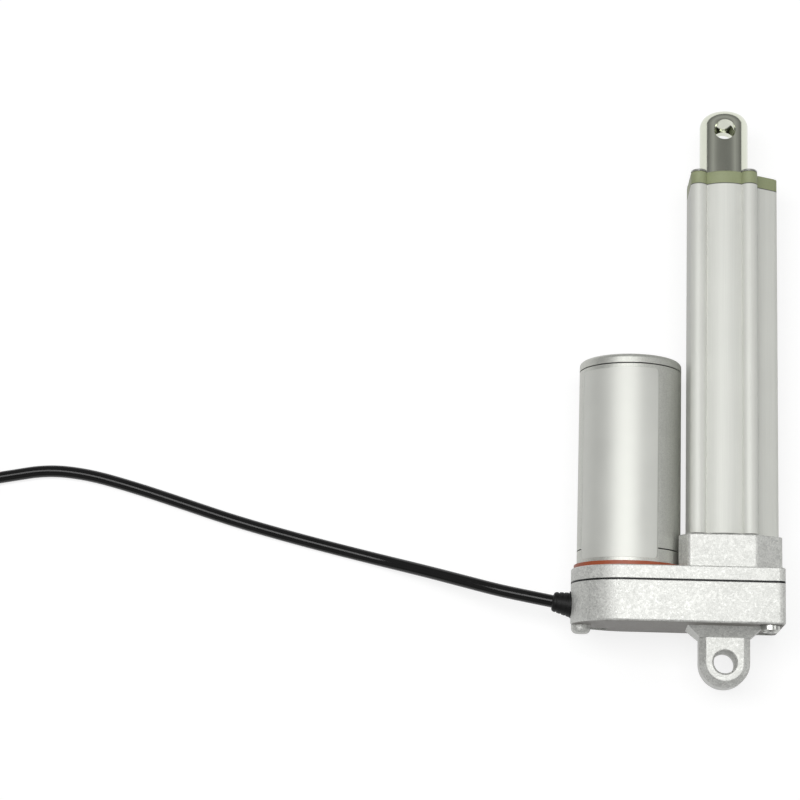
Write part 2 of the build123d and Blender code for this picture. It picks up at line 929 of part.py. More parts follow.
def core_tips():
    """The tinned ends of the cores."""
    return [bare_core(side, bare_core_l, core_tip_l, core_tip_d) for side in (-1, 1)]


nodes = {
    "gearbox_housing": gearbox_housing(),
    "gearbox_cover": gearbox_cover(),
    "gearbox_gasket": gearbox_gasket(),
    "housing_screws": housing_screws(),
    "outer_tube": outer_tube(),
    "front_cap": front_cap(),
    "front_cap_screws": front_cap_screws(),
    "rod_wiper": rod_wiper(),
    "front_bush": front_bush(),
    "rod_tube": rod_tube(),
    "lead_nut": lead_nut(),
    "guide_shoe": guide_shoe(),
    "lead_screw": lead_screw(),
    "final_gear": final_gear(),
    "bearing_outer_race": bearing_outer_race(),
    "bearing_inner_race": bearing_inner_race(),
    "bearing_balls": bearing_balls(),
    "gear_axles": gear_axles(),
    "first_gear": first_gear(),
    "second_gear": second_gear(),
    "motor_seal": motor_seal(),
    "motor_front_plate": motor_front_plate(),
    "motor_can": motor_can(),
    "motor_end_cap": motor_end_cap(),
    "motor_bushes": motor_bushes(),
    "motor_magnets": motor_magnets(),
    "brush_holder": brush_holder(),
    "brushes": brushes(),
    "rotor_shaft": rotor_shaft(),
    "rotor_core": rotor_core(),
    "commutator": commutator(),
    "motor_pinion": motor_pinion(),
    "limit_switch_board": limit_switch_board(),
    "lower_limit_switch": limit_switch(lower_trip),
    "upper_limit_switch": limit_switch(upper_trip),
    "lower_switch_plunger": switch_plunger(lower_trip),
    "upper_switch_plunger": switch_plunger(upper_trip),
    "cable_gland": cable_gland(),
    "cord": cord(),
    "cord_coil": cord_coil(),
    "cord_cores": cord_cores(),
    "core_tips": core_tips(),
}

os.makedirs("parts", exist_ok=True)
for name, shape in nodes.items():
    solids = shape if isinstance(shape, list) else [shape]
    solids = [solid for piece in solids for solid in piece.solids()]
    export_step(solids[0] if len(solids) == 1 else Compound(children=solids), f"parts/{name}.step")
print("nodes", len(nodes))
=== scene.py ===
# %% [markdown]
# # An electric linear actuator on a white table
# The real thing is a small motor that stands beside an extruded tube. A gearbox
# joins the two, and a polished rod slides out of the tube. Its hard pieces come
# from a solid model, so they are already the right size and in the right place.
# Blender's work is the rest: the camera, the light, the cord, the small pieces
# that repeat, and above all the finish of each surface.

# %% The solid model
import json
import math

import bmesh
import bpy
from mathutils import Matrix, Vector


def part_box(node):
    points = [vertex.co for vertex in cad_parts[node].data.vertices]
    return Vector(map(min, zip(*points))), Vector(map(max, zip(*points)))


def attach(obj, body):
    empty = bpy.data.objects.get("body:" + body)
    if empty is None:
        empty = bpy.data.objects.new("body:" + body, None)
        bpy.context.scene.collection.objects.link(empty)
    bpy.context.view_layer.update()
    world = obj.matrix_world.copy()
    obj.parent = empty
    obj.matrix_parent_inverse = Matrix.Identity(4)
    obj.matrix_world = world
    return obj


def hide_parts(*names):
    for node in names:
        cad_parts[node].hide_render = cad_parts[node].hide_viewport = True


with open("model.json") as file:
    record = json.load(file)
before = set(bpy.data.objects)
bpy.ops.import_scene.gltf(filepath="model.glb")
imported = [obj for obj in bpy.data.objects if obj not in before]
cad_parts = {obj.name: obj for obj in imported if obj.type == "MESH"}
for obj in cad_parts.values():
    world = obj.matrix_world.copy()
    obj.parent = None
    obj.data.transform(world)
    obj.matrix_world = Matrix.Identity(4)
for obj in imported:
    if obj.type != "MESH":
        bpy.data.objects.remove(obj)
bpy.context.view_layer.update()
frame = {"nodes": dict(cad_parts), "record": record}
nodes = frame["nodes"]
MM = 0.001
print("pieces in the solid model:", len(nodes))

# %% [markdown]
# ## The camera
# A product picture like this is taken from almost straight above with a long lens.
# The place and the turn of the camera were worked out from the known lengths of the
# actuator, so they are written down as numbers. Blender wants the camera's axes as
# the columns of a matrix: to the right, up, and backwards, away from the subject.

# %% Camera
FRAME_PIXELS = 800
FOCAL_PIXELS = 1875.43
SENSOR_MM = 36.0
CAMERA_PLACE = Vector((-43.07, -56.86, 704.36)) * MM
CAMERA_RIGHT = (0.99373, 0.03685, -0.10552)
CAMERA_UP = (-0.01325, 0.97628, 0.21612)
CAMERA_BACK = (0.11098, -0.21337, 0.97065)

camera_data = bpy.data.cameras.new("camera")
camera_data.sensor_width = SENSOR_MM
camera_data.lens = FOCAL_PIXELS / FRAME_PIXELS * SENSOR_MM
camera_data.clip_start = 0.01
camera_data.clip_end = 20.0
camera = bpy.data.objects.new("camera", camera_data)
bpy.context.scene.collection.objects.link(camera)
turn = Matrix((CAMERA_RIGHT, CAMERA_UP, CAMERA_BACK)).transposed().to_4x4()
camera.matrix_world = Matrix.Translation(CAMERA_PLACE) @ turn
bpy.context.scene.camera = camera
print("lens in mm:", round(camera_data.lens, 2))

# %% [markdown]
# ## Shader maths as plain Python
# A material in Blender is a web of nodes, and sums of masks soon need dozens of
# them. The small class below wraps one output of a node. Adding, subtracting and
# multiplying such wrapped outputs places the Math nodes, so that the recipe for a
# surface can be read like a formula.

# %% One output of a node
class Socket:
    """One output of a node, with the sums that the finishes use."""

    def __init__(self, finish, output):
        self.finish = finish
        self.output = output

    def __add__(self, other):
        return self.finish.maths("ADD", self, other)

    __radd__ = __add__

    def __mul__(self, other):
        return self.finish.maths("MULTIPLY", self, other)

    __rmul__ = __mul__

    def __sub__(self, other):
        return self.finish.maths("SUBTRACT", self, other)

    def __rsub__(self, other):
        return self.finish.maths("SUBTRACT", other, self)


# %% [markdown]
# Every other node comes from one method. It takes the node's type, the settings
# that have to be made first, and then what goes into its sockets: a number, a
# colour, or another node's output. The patterns and masks build on that method.

# %% A finish is a material and the nodes in it
class Finish:
    """A material, built up node by node."""

    def __init__(self, name):
        self.material = bpy.data.materials.new(name)
        self.material.use_nodes = True
        self.tree = self.material.node_tree
        self.tree.nodes.clear()
        self.place = self.node("ShaderNodeTexCoord", out="Object")

    def node(self, kind, settings=None, values=None, out=0):
        made = self.tree.nodes.new(kind)
        for key, value in (settings or {}).items():
            setattr(made, key, value)
        for key, value in (values or {}).items():
            if isinstance(value, Socket):
                self.tree.links.new(value.output, made.inputs[key])
            else:
                made.inputs[key].default_value = value
        return Socket(self, made.outputs[out])

    def maths(self, operation, *values):
        return self.node("ShaderNodeMath", {"operation": operation}, dict(enumerate(values)))

    def largest(self, first, *others):
        for other in others:
            first = self.maths("MAXIMUM", first, other)
        return first

    def ease(self, value, low, high):
        """0 below low, 1 above high, and a soft step between them."""
        limits = {"Value": value, "From Min": low, "From Max": high}
        return self.node("ShaderNodeMapRange", {"interpolation_type": "SMOOTHSTEP"}, limits)

    def mix(self, factor, first, second):
        """The first colour where the factor is 0, the second where it is 1."""
        values = {0: factor, 6: first, 7: second}
        return self.node("ShaderNodeMix", {"data_type": "RGBA"}, values, out=2)

    def along(self, name, vector=None):
        """One axis of a vector, or of the place on the piece, in metres."""
        return self.node("ShaderNodeSeparateXYZ", values={"Vector": vector or self.place}, out=name)

    def noise(self, per_metre, detail=2.0, rough=0.5, scale=(1, 1, 1)):
        """Soft noise. A small scale draws it out along that axis, a large one presses it together."""
        place = self.node("ShaderNodeMapping", values={"Vector": self.place, "Scale": scale})
        values = {"Vector": place, "Scale": per_metre, "Detail": detail, "Roughness": rough}
        return self.node("ShaderNodeTexNoise", values=values)

    def flakes(self, per_metre):
        """A random number for each tiny cell, as flakes of metal in a paint have."""
        values = {"Vector": self.place, "Scale": per_metre}
        cells = self.node("ShaderNodeTexVoronoi", values=values, out="Color")
        return self.node("ShaderNodeSeparateColor", values={"Color": cells})

    def bump(self, height, distance, strength, normal=None):
        values = {"Height": height, "Distance": distance, "Strength": strength}
        if normal:
            values["Normal"] = normal
        return self.node("ShaderNodeBump", values=values)

    def soft_edges(self, radius):
        """Normals that turn gently over each sharp edge, as on any part that was cast or tumbled."""
        return self.node("ShaderNodeBevel", {"samples": 4}, {"Radius": radius})

    def surface(self, **values):
        """Ends the material. Underscores in the names stand for spaces."""
        named = {key.replace("_", " "): value for key, value in values.items()}
        return self.end(self.node("ShaderNodeBsdfPrincipled", values=named))

    def end(self, shader):
        output = self.tree.nodes.new("ShaderNodeOutputMaterial")
        self.tree.links.new(shader.output, output.inputs["Surface"])
        return self.material


def grey(level, warm=0.0):
    """A nearly neutral colour. Warmth adds a little green and takes four times as much blue."""
    return (level, level * (1 + warm), level * (1 - 4 * warm), 1.0)


# %% [markdown]
# ## The castings: silver paint with a sparkle
# The gearbox is cast from a zinc or aluminium alloy, and a thin coat of silver
# lacquer hides the rough skin. Close up it sparkles, because each flake in the
# lacquer lies at its own angle. Small random cells stand for the flakes, in two
# sizes: they vary the brightness, and the coarse ones vary the roughness and the
# bump as well. A slow noise adds the faint mottling of sprayed paint, and a Bevel
# node rounds the light over the edges. The broad face that carries the rear eye
# turns away from the light. A mask finds it by the way it faces and by its place
# along the actuator, and paints shade into it: a darker and less metallic grey.

# %% Cast alloy
FINE_FLAKES = 3600
COARSE_FLAKES = 1500
UNDERSIDE_FACING = (0.75, 0.95)
UNDERSIDE_Y = (11.0 * MM, 12.5 * MM)
LACQUER_DARK, LACQUER_LIGHT = grey(0.38, 0.010), grey(0.88, 0.008)
UNDERSIDE_SHADE_DARK, UNDERSIDE_SHADE_LIGHT = (0.15, 0.142, 0.128, 1), (0.34, 0.32, 0.29, 1)


def make_cast_alloy():
    paint = Finish("cast_alloy_paint")
    fine = paint.flakes(FINE_FLAKES)
    coarse = paint.flakes(COARSE_FLAKES)
    mottle = paint.noise(per_metre=110, detail=4, rough=0.6)
    skin = paint.noise(per_metre=1300, detail=3, rough=0.6)
    tone = fine * 0.3 + coarse * 0.35 + mottle * 0.35
    facing = paint.along("Y", paint.node("ShaderNodeNewGeometry", out="Normal"))
    # Painted shade: faces turned down towards the rear eye get a darker, less metallic grey.
    under = paint.ease(facing * -1, *UNDERSIDE_FACING) * paint.ease(paint.along("Y"), *UNDERSIDE_Y)
    lacquer = paint.mix(tone, LACQUER_DARK, LACQUER_LIGHT)
    underside_shade = paint.mix(tone, UNDERSIDE_SHADE_DARK, UNDERSIDE_SHADE_LIGHT)
    height = skin * 0.6 + coarse * 0.4
    return paint.surface(
        Base_Color=paint.mix(under, lacquer, underside_shade),
        Metallic=0.55 * (1 - under),
        Roughness=0.38 + coarse * 0.2 + skin * 0.06,
        Normal=paint.bump(height, 0.05 * MM, 0.6, paint.soft_edges(0.3 * MM)),
    )


cast_alloy = make_cast_alloy()
print("nodes in the paint:", len(cast_alloy.node_tree.nodes))

# %% [markdown]
# ## The tube: satin anodised aluminium
# An extrusion is pressed through a die, which leaves very fine lines along its
# whole length. Noise that is drawn out along the tube gives those lines to the
# roughness and the bump. Where the tube meets the gearbox's collar and the end cap,
# a thin line of shade falls, so a mask paints that shade, dark and less metallic,
# into the last fraction of a millimetre at both ends.

# %% Anodised tube
COLLAR_LINE = (0.66 * MM, 1.1 * MM)
CAP_LINE = (0.5 * MM, 0.1 * MM)
LINE_STRETCH = (1, 0.012, 1)
BAND_STRETCH = (1, 0.02, 1)
ANODISED_DARK, ANODISED_LIGHT = grey(0.61, 0.013), grey(0.83, 0.013)
SEAM_SHADE_GREY = grey(0.05, 0.02)


def make_anodised_tube():
    metal = Finish("anodised_tube")
    lines = metal.noise(per_metre=2600, detail=3, scale=LINE_STRETCH)
    broad = metal.noise(per_metre=420, detail=2, scale=BAND_STRETCH)
    cloud = metal.noise(per_metre=45, detail=2)
    height = metal.along("Y")
    collar_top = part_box("gearbox_cover")[1].y
    tube_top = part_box("outer_tube")[1].y
    # Painted shade: a thin dark, less metallic line beside the collar and below the end cap.
    clear_of_collar = metal.ease(height, *(collar_top + reach for reach in COLLAR_LINE))
    near_cap = metal.ease(height, *(tube_top - reach for reach in CAP_LINE))
    unshaded = clear_of_collar * (1 - near_cap)
    tone = lines * 0.35 + broad * 0.35 + cloud * 0.3
    alloy = metal.mix(tone, ANODISED_DARK, ANODISED_LIGHT)
    return metal.surface(
        Base_Color=metal.mix(unshaded, SEAM_SHADE_GREY, alloy),
        Metallic=0.18 * unshaded,
        Roughness=0.46 + lines * 0.12 + cloud * 0.05,
        Normal=metal.bump(lines, 0.006 * MM, 0.5, metal.soft_edges(0.2 * MM)),
    )


anodised_tube = make_anodised_tube()
print("nodes in the anodising:", len(anodised_tube.node_tree.nodes))

# %% [markdown]
# ## The motor: plated steel
# The motor's can, flange and cap are plated and have a satin shine. The lines of
# the drawn steel run up the can, much fainter than on the tube. Narrow seams run
# round the motor where two pieces meet, and little light reaches into them. So the
# material measures how far each point is from the motor's axis, and paints shade,
# black and without shine, on what lies deeper than the skin. The flat face of the
# cap is left out of that mask.

# %% Motor silver
MOTOR_X = -35.26
MOTOR_R = 19.3
SEAM_DEPTH = (0.45, 0.25)
CAP_START = (0.5 * MM, 0.7 * MM)
PLATED_DARK, PLATED_LIGHT = grey(0.42, 0.014), grey(0.72, 0.014)
SEAM_SHADE_BLACK = grey(0.01)


def make_motor_silver():
    metal = Finish("motor_silver")
    drawn = metal.noise(per_metre=1900, detail=3, scale=(1, 0.03, 1))
    cloud = metal.noise(per_metre=60, detail=3)
    grain = metal.flakes(3200)
    across = metal.along("X") - MOTOR_X * MM
    up = metal.along("Z")
    radius = metal.maths("SQRT", across * across + up * up)
    # Painted shade: what lies inside the motor's skin, in the seams, turns black.
    skin = metal.ease(radius, *((MOTOR_R - depth) * MM for depth in SEAM_DEPTH))
    can_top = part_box("motor_can")[1].y
    cap = metal.ease(metal.along("Y"), *(can_top + start for start in CAP_START))
    shown = metal.largest(skin, cap)
    tone = drawn * 0.3 + cloud * 0.35 + grain * 0.35
    plated = metal.mix(tone, PLATED_DARK, PLATED_LIGHT)
    return metal.surface(
        Base_Color=metal.mix(shown, SEAM_SHADE_BLACK, plated),
        Metallic=0.75 * shown,
        Roughness=0.38 + cloud * 0.10 + grain * 0.08,
        Normal=metal.bump(drawn, 0.004 * MM, 0.4, metal.soft_edges(0.2 * MM)),
    )


motor_silver = make_motor_silver()
print("nodes in the plating:", len(motor_silver.node_tree.nodes))

# %% [markdown]
# ## The rod: polished steel
# The rod is ground between wheels and then polished, so its finest lines run round
# it. Noise that is pressed together along the rod gives them. The rod mirrors the
# dark ceiling down its middle and the white table at its sides, so it needs little
# colour of its own.

# %% Polished rod
POLISHED_DARK, POLISHED_LIGHT = grey(0.62, 0.03), grey(0.74, 0.03)


def make_rod_steel():
    metal = Finish("rod_steel")
    rings = metal.noise(per_metre=90, detail=4, rough=0.6, scale=(1, 45, 1))
    cloud = metal.noise(per_metre=80, detail=2)
    return metal.surface(
        Base_Color=metal.mix(cloud, POLISHED_DARK, POLISHED_LIGHT),
        Metallic=1.0,
        Roughness=0.09 + rings * 0.06 + cloud * 0.03,
        Normal=metal.bump(rings, 0.001 * MM, 0.4),
    )


rod_steel = make_rod_steel()
print("nodes in the polish:", len(rod_steel.node_tree.nodes))

# %% [markdown]
# ## The moulded pieces
# The end cap is a khaki plastic with the fine, even grain of a mould. The seals are
# rubber: black between the castings and round the rod, orange under the motor.
# One small recipe serves them all, with its own colours and numbers for each. The
# grain's depth is given in millimetres.

# %% Plastics and rubbers
def make_moulded(name, dark, light, roughness, grain_per_metre=1400, depth=0.02, shine=0.5):
    plastic = Finish(name)
    grain = plastic.noise(grain_per_metre, detail=3)
    cloud = plastic.noise(per_metre=110, detail=2)
    return plastic.surface(
        Base_Color=plastic.mix(cloud * 0.6 + grain * 0.4, dark, light),
        Roughness=roughness + grain * 0.12,
        Specular_IOR_Level=shine,
        Normal=plastic.bump(grain, depth * MM, 0.5, plastic.soft_edges(0.15 * MM)),
    )


khaki_plastic = make_moulded("khaki_plastic", (0.25, 0.28, 0.15, 1), (0.36, 0.40, 0.23, 1), 0.42)
seal_rubber = make_moulded("seal_rubber", grey(0.003), grey(0.010), 0.42, shine=0.25)
orange_rubber = make_moulded("orange_rubber", (0.27, 0.05, 0.015, 1), (0.42, 0.09, 0.028, 1), 0.4)
bush_plastic = make_moulded("bush_plastic", grey(0.05), grey(0.09), 0.45)
gear_plastic = make_moulded("gear_plastic", (0.68, 0.66, 0.58, 1), (0.80, 0.79, 0.72, 1), 0.35)
switch_black = make_moulded("switch_black", grey(0.012), grey(0.03), 0.38)
carbon = make_moulded("carbon", (0.012, 0.012, 0.013, 1), (0.04, 0.04, 0.042, 1), 0.6, 3000)
core_insulation = make_moulded(
    "core_insulation", (0.22, 0.022, 0.018, 1), (0.40, 0.05, 0.04, 1), 0.38)
board_green = make_moulded(
    "board_green", (0.02, 0.14, 0.07, 1), (0.04, 0.22, 0.11, 1), 0.35, 2400, depth=0.01)
print("finishes so far:", len(bpy.data.materials))

# %% [markdown]
# ## The plain metals
# Screws, bearings, bushes and magnets are turned, ground or pressed. They differ in
# colour, in how rough they are, and in how strongly their turning lines show.

# %% Plain metals
def make_metal(name, dark, light, roughness, line_depth=0.004):
    metal = Finish(name)
    turned = metal.noise(per_metre=160, detail=4, scale=(1, 22, 1))
    cloud = metal.noise(per_metre=210, detail=3)
    return metal.surface(
        Base_Color=metal.mix(cloud * 0.6 + turned * 0.4, dark, light),
        Metallic=0.95,
        Roughness=roughness + turned * 0.12,
        Normal=metal.bump(turned, line_depth * MM, 0.5, metal.soft_edges(0.12 * MM)),
    )


screw_steel = make_metal("screw_steel", grey(0.42, 0.01), grey(0.62, 0.01), 0.24)
bearing_steel = make_metal("bearing_steel", grey(0.52), grey(0.66), 0.14, 0.002)
bronze = make_metal("bronze", (0.44, 0.27, 0.11, 1), (0.60, 0.39, 0.18, 1), 0.28)
copper = make_metal("copper", (0.50, 0.24, 0.13, 1), (0.66, 0.33, 0.19, 1), 0.26)
magnet = make_metal("magnet", grey(0.09), grey(0.15), 0.5, 0.01)
laminations = make_metal("laminations", (0.22, 0.15, 0.10, 1), (0.34, 0.24, 0.17, 1), 0.4, 0.03)
tinned_wire = make_metal("tinned_wire", grey(0.52, 0.01), grey(0.68, 0.01), 0.25)
print("finishes so far:", len(bpy.data.materials))

# %% [markdown]
# ## Which piece gets which finish
# The record of the solid model already says what each piece is made of, by the name
# of a finish. So the materials carry the same names, and one loop hands them out.

# %% Hand out the finishes
FINISHES = {
    "cast_alloy": cast_alloy,
    "anodised_tube": anodised_tube,
    "motor_silver": motor_silver,
    "rod_steel": rod_steel,
    "screw_steel": screw_steel,
    "khaki_plastic": khaki_plastic,
    "seal_rubber": seal_rubber,
    "orange_rubber": orange_rubber,
    "bronze": bronze,
    "gear_plastic": gear_plastic,
    "bush_plastic": bush_plastic,
    "bearing_steel": bearing_steel,
    "magnet": magnet,
    "laminations": laminations,
    "copper": copper,
    "carbon": carbon,
    "board_green": board_green,
    "switch_black": switch_black,
    "core_insulation": core_insulation,
    "tinned_wire": tinned_wire,
}

for part in frame["record"]["subparts"]:
    if part["material_slot"] in FINISHES:
        mesh = nodes[part["node"]].data
        mesh.materials.clear()
        mesh.materials.append(FINISHES[part["material_slot"]])
print("finishes handed out:", len(FINISHES))

# %% [markdown]
# ## Screws with a cross recess
# Four long screws hold the end cap, and three others hold the castings together.
# They are all the same thing in other sizes, so one Geometry Nodes tree makes them:
# a low head with a bevelled rim, a cross cut into it, and a shank. The tree sets one
# on each point of a small mesh and turns each by its own random angle. First come
# small helpers that add a node, a sum and a lift to a tree.

# %% Building a tree of nodes
def tree_node(tree, kind, settings=None, values=None):
    """Adds one node, with its settings and what goes into its sockets."""
    made = tree.nodes.new(kind)
    for key, value in (settings or {}).items():
        setattr(made, key, value)
    for key, value in (values or {}).items():
        if isinstance(value, bpy.types.NodeSocket):
            tree.links.new(value, made.inputs[key])
        else:
            made.inputs[key].default_value = value
    return made


def tree_maths(tree, operation, first, second):
    return tree_node(tree, "ShaderNodeMath", {"operation": operation}, {0: first, 1: second}).outputs[0]


def lifted(tree, mesh, height):
    """The mesh, moved up by height."""
    up = tree_node(tree, "ShaderNodeCombineXYZ", values={"Z": height}).outputs[0]
    moved = tree_node(tree, "GeometryNodeTransform", values={"Geometry": mesh, "Translation": up})
    return moved.outputs[0]


# %% [markdown]
# Each size of the screw is a named input of the tree, so that one tree serves long
# and short screws alike. The sizes here are those of the end cap's screws, in
# millimetres, and stand until a group of screws asks for others.

# %% The screw's inputs
SCREW_SIZES = {
    "Head Radius": 3.1,
    "Head Height": 0.8,
    "Rim": 0.25,
    "Cross Length": 3.4,
    "Cross Width": 0.8,
    "Cross Depth": 0.5,
    "Shank Radius": 1.4,
    "Shank Length": 14.0,
}
OTHER_INPUTS = {
    "Way": "NodeSocketVector",
    "Seed": "NodeSocketInt",
    "Finish": "NodeSocketMaterial",
}


def empty_screw_tree():
    tree = bpy.data.node_groups.new("cross_screw", "GeometryNodeTree")
    tree.interface.new_socket("Places", in_out="INPUT", socket_type="NodeSocketGeometry")
    for name, size in SCREW_SIZES.items():
        socket = tree.interface.new_socket(name, in_out="INPUT", socket_type="NodeSocketFloat")
        socket.default_value = size * MM
    for name, socket_type in OTHER_INPUTS.items():
        tree.interface.new_socket(name, in_out="INPUT", socket_type=socket_type)
    tree.interface.new_socket("Screws", in_out="OUTPUT", socket_type="NodeSocketGeometry")
    return tree


# %% [markdown]
# The head starts as a disc. Its top is pulled up by the height of the rim and made
# that much smaller, which gives the bevel. Two crossed bars are then cut out of it.

# %% The screw's head
HEAD_SIDES = 40


def screw_head(tree, given):
    disc_h = tree_maths(tree, "SUBTRACT", given["Head Height"], given["Rim"])
    disc = tree_node(tree, "GeometryNodeMeshCylinder", values={
        "Vertices": HEAD_SIDES, "Radius": given["Head Radius"], "Depth": disc_h})
    grown = tree_node(tree, "GeometryNodeExtrudeMesh", values={
        "Mesh": disc.outputs["Mesh"], "Selection": disc.outputs["Top"], "Offset Scale": given["Rim"]})
    rim_share = tree_maths(tree, "DIVIDE", given["Rim"], given["Head Radius"])
    head = tree_node(tree, "GeometryNodeScaleElements", values={
        "Geometry": grown.outputs["Mesh"], "Selection": grown.outputs["Top"],
        "Scale": tree_maths(tree, "SUBTRACT", 1.0, rim_share)})
    head = lifted(tree, head.outputs[0], tree_maths(tree, "MULTIPLY", disc_h, 0.5))
    for long_side, short_side in (("X", "Y"), ("Y", "X")):
        size = tree_node(tree, "ShaderNodeCombineXYZ", values={
            long_side: given["Cross Length"], short_side: given["Cross Width"],
            "Z": tree_maths(tree, "MULTIPLY", given["Cross Depth"], 2.0)})
        bar = tree_node(tree, "GeometryNodeMeshCube", values={"Size": size.outputs[0]})
        bar = lifted(tree, bar.outputs["Mesh"], given["Head Height"])
        cut = tree_node(
            tree, "GeometryNodeMeshBoolean", {"operation": "DIFFERENCE"}, {"Mesh 1": head, "Mesh 2": bar})
        head = cut.outputs["Mesh"]
    return head


# %% [markdown]
# The shank hangs under the head. Instance on Points then sets a whole screw on each
# place, and a random turn of up to half a circle keeps the crosses from lining up.
# At the end the instances become real meshes and get their finish.

# %% The screw's tree
SHANK_SIDES = 20


def screw_tree():
    tree = empty_screw_tree()
    given = tree.nodes.new("NodeGroupInput").outputs
    head = screw_head(tree, given)
    shank = tree_node(tree, "GeometryNodeMeshCylinder", values={
        "Vertices": SHANK_SIDES, "Radius": given["Shank Radius"], "Depth": given["Shank Length"]})
    half_down = tree_maths(tree, "MULTIPLY", given["Shank Length"], -0.5)
    shank = lifted(tree, shank.outputs["Mesh"], half_down)
    whole = tree_node(tree, "GeometryNodeJoinGeometry", values={"Geometry": head})
    tree.links.new(shank, whole.inputs["Geometry"])
    on_places = tree_node(tree, "GeometryNodeInstanceOnPoints", values={
        "Points": given["Places"], "Instance": whole.outputs[0], "Rotation": given["Way"]})
    # Random Value has several sockets called Max and Value. For a plain number they are the
    # fourth input and the second output.
    angle = tree_node(
        tree, "FunctionNodeRandomValue", {"data_type": "FLOAT"}, {3: math.pi, "Seed": given["Seed"]})
    spin = tree_node(tree, "ShaderNodeCombineXYZ", values={"Z": angle.outputs[1]}).outputs[0]
    spun = tree_node(tree, "GeometryNodeRotateInstances", values={
        "Instances": on_places.outputs[0], "Rotation": spin})
    real = tree_node(tree, "GeometryNodeRealizeInstances", values={"Geometry": spun.outputs[0]})
    done = tree_node(tree, "GeometryNodeSetMaterial", values={
        "Geometry": real.outputs[0], "Material": given["Finish"]})
    tree_node(tree, "NodeGroupOutput", values={"Screws": done.outputs[0]})
    return tree


cross_screw = screw_tree()
print("nodes in the screw's tree:", len(cross_screw.nodes))


# %% [markdown]
# The modifier's inputs are set by each socket's identifier. The evaluated object is
# then turned into a plain mesh, so that nothing has to be worked out again later.

# %% Screws from the tree
SCREW_SEED = 7


def make_screws(name, seats, towards, sizes):
    """Screws with their seats in millimetres, and their heads along towards."""
    mesh = bpy.data.meshes.new(name)
    mesh.from_pydata([Vector(seat) * MM for seat in seats], [], [])
    made = bpy.data.objects.new(name, mesh)
    bpy.context.scene.collection.objects.link(made)
    modifier = made.modifiers.new("screws", "NODES")
    modifier.node_group = cross_screw
    given = {key: size * MM for key, size in {**SCREW_SIZES, **sizes}.items()}
    given["Way"] = Vector(towards).to_track_quat("Z", "X").to_euler()
    given["Seed"] = SCREW_SEED
    given["Finish"] = screw_steel
    for item in cross_screw.interface.items_tree:
        if item.in_out == "INPUT" and item.name in given:
            modifier[item.identifier] = given[item.name]
    ready = made.evaluated_get(bpy.context.evaluated_depsgraph_get())
    plain = bpy.data.meshes.new_from_object(ready)
    made.modifiers.clear()
    made.data = plain
    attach(made, "casing")
    print(name, "faces:", len(plain.polygons))
    return made


# %% [markdown]
# The end cap's screws sit in the tube's four lobes, and their heads face the same
# way as the rod. The casing's three are driven in from the rear eye's side. One has
# a tall head that sits free in the pocket of a corner, and two are sunk.

# %% Screws at their places
FORWARD, BACKWARD = (0, 1, 0), (0, -1, 0)
CAP_SEAT_Y = 187.3
LOBES = [(-9.9, 8.8), (9.1, 8.8), (-10.6, -8.8), (9.8, -8.8)]
CAP_SEATS = [(x, CAP_SEAT_Y, z) for x, z in LOBES]
CORNER_SEATS = [(15.7, 13.9, 16.0)]
SUNK_SEATS = [(15.7, 15.35, -16.0), (-46.26, 15.35, -11.8)]
CAP_SCREW = {"Shank Length": 18.9}
CASE_SCREW = {"Head Radius": 3.4, "Shank Radius": 1.6, "Cross Length": 3.8}
CORNER_SCREW = {**CASE_SCREW, "Head Height": 3.5, "Rim": 0.8, "Cross Depth": 0.9, "Shank Length": 18.6}
SUNK_SCREW = {**CASE_SCREW, "Head Height": 1.2, "Rim": 0.3, "Cross Depth": 0.7, "Shank Length": 17.1}

cap_screws = make_screws("cap_screws", CAP_SEATS, FORWARD, CAP_SCREW)
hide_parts("front_cap_screws")
corner_screw = make_screws("case_screw_outer", CORNER_SEATS, BACKWARD, CORNER_SCREW)
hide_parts("housing_screws")
make_screws("case_screws_sunk", SUNK_SEATS, BACKWARD, SUNK_SCREW)

# %% [markdown]
# ## The cord
# A black, glossy round cord leaves the gearbox on the left, sinks to the table and
# wanders off. What the picture doesn't show is wound into a small coil just beyond
# its edge. The cord is one smooth NURBS curve: its control points pull on the line
# like magnets, so a few well-placed points give a calm, natural bend.

# %% The cord's free run
CORD_D = 4.8
TABLE_Z = -21.3
CORD_Z = TABLE_Z + CORD_D / 2
GLAND_TIP = (-63.261, 21.529, 0.0)
FREE_RUN = [
    GLAND_TIP,
    (-72.7, 23.2, 0.0),
    (-84.0, 25.5, -1.9),
    (-97.5, 29.1, -5.9),
    (-113.0, 33.4, -12.3),
    (-131.0, 38.0, CORD_Z),
    (-150.5, 42.4, CORD_Z),
    (-170.5, 47.2, CORD_Z),
    (-191.0, 52.6, CORD_Z),
    (-211.5, 59.0, CORD_Z),
    (-232.0, 65.2, CORD_Z),
    (-250.5, 69.9, CORD_Z),
    (-267.0, 71.4, CORD_Z),
    (-283.0, 68.6, CORD_Z),
    (-300.0, 65.6, CORD_Z),
    (-318.0, 61.8, CORD_Z),
]
print("control points before the coil:", len(FREE_RUN))

# %% [markdown]
# The coil has nearly four turns: two beside each other, in two layers. The outer
# lane is wound first, below and then above. Then the cord steps inwards and winds
# the inner lane, above and then below. Each step from one lane to the next is taken
# a little earlier than the one before, so that no turn runs into its neighbour.
# The angles are in degrees, counted from where the coil starts. A curve runs inside
# its control points, so these lie a little further out than the cord's own line.

# %% The coil's turns
COIL_CENTRE = (-326.0, 28.0)
COIL_START = 110
OUTER_LANE, INNER_LANE = 30.6, 25.8
LOW, HIGH = CORD_Z, CORD_Z + CORD_D
LANES = [(OUTER_LANE, LOW), (OUTER_LANE, HIGH), (INNER_LANE, HIGH), (INNER_LANE, LOW)]
STEP_STARTS = [310, 275, 240]
STEP_LENGTH = 35
LAST_TURN = 240
POINT_STEP = 22.5
OUTWARDS = (1 + 1 / math.cos(math.radians(POINT_STEP / 2)) ** 2) / 2


